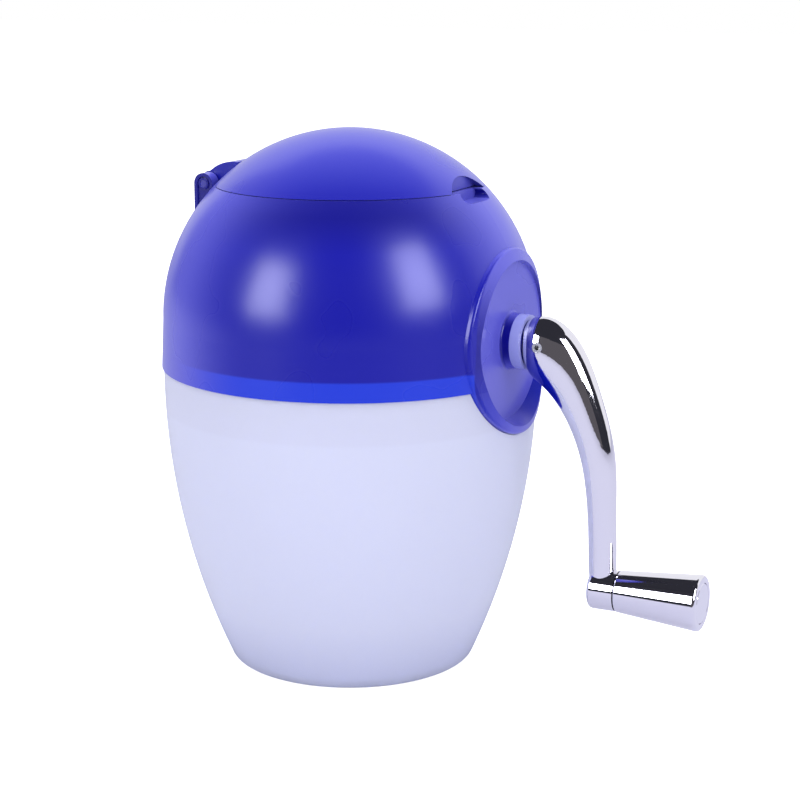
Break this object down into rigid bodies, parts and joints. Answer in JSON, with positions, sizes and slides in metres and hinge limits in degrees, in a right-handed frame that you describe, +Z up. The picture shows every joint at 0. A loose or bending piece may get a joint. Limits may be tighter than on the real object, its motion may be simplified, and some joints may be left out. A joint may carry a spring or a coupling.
{
  "type": "hand cranked ice crusher",
  "caption": "Egg-shaped ice crusher: frosted cup, blue domed head with a hinged lid, toothed rotor between fixed blades, side crank with a tapered knob.",
  "frame": {"origin": "centre of the ring that the cup stands on", "axes": "+Z up, +X towards the crank, -X towards the lid's hinge"},
  "size_m": [0.2199, 0.1478, 0.2096],
  "materials": {
    "blue_plastic": "satin translucent blue",
    "frosted_plastic": "frosted clear",
    "natural_plastic": "natural, satin",
    "nylon": "milky, satin",
    "chrome": "polished",
    "steel": "brushed"
  },
  "bodies": {
    "cup": {"cup": "frosted_plastic"},
    "head": {"blade_rod_nuts": "steel", "chute_screws": "steel", "coarse_comb": "steel", "comb_screws": "steel", "crank_bush": "nylon", "far_bush": "nylon", "fixed_blade_1": "steel", "fixed_blade_2": "steel", "fixed_blade_3": "steel", "fixed_blade_4": "steel", "fixed_blade_5": "steel", "fixed_blade_6": "steel", "hopper": "blue_plastic", "housing": "blue_plastic", "ice_chute": "natural_plastic", "lid_hinge_pin": "steel", "lower_blade_rod": "steel", "upper_blade_rod": "steel"},
    "lid": {"lid": "blue_plastic"},
    "crank": {"rotor_blade_1": "steel", "rotor_blade_2": "steel", "rotor_blade_3": "steel", "rotor_blade_4": "steel", "rotor_blade_5": "steel", "rotor_spacer_1": "steel", "rotor_spacer_2": "steel", "rotor_spacer_3": "steel", "rotor_spacer_4": "steel", "rotor_spacer_5": "steel", "rotor_spacer_6": "steel", "drive_shaft": "steel", "shaft_end_washer": "steel", "shaft_end_clip": "steel", "shaft_collar": "blue_plastic", "crank_arm": "chrome", "crank_grub_screw": "steel", "knob_spindle": "steel"},
    "knob": {"knob": "chrome", "knob_end_cap": "chrome"}
  },
  "joints": [
    {"name": "head_lift", "type": "slide", "parent": "cup", "child": "head", "axis": [0, 0, 1], "range_m": [0, 0.06]},
    {"name": "lid_hinge", "type": "hinge", "parent": "head", "child": "lid", "pos_m": [-0.0552, 0, 0.1872], "axis": [0, -1, 0], "range_deg": [0, 110]},
    {"name": "crank_turn", "type": "hinge", "parent": "head", "child": "crank", "pos_m": [0.0734, 0, 0.1325], "axis": [1, 0, 0], "continuous": true},
    {"name": "knob_spin", "type": "hinge", "parent": "crank", "child": "knob", "pos_m": [0.1297, 0, 0.0399], "axis": [1, 0, 0], "continuous": true}
  ]
}
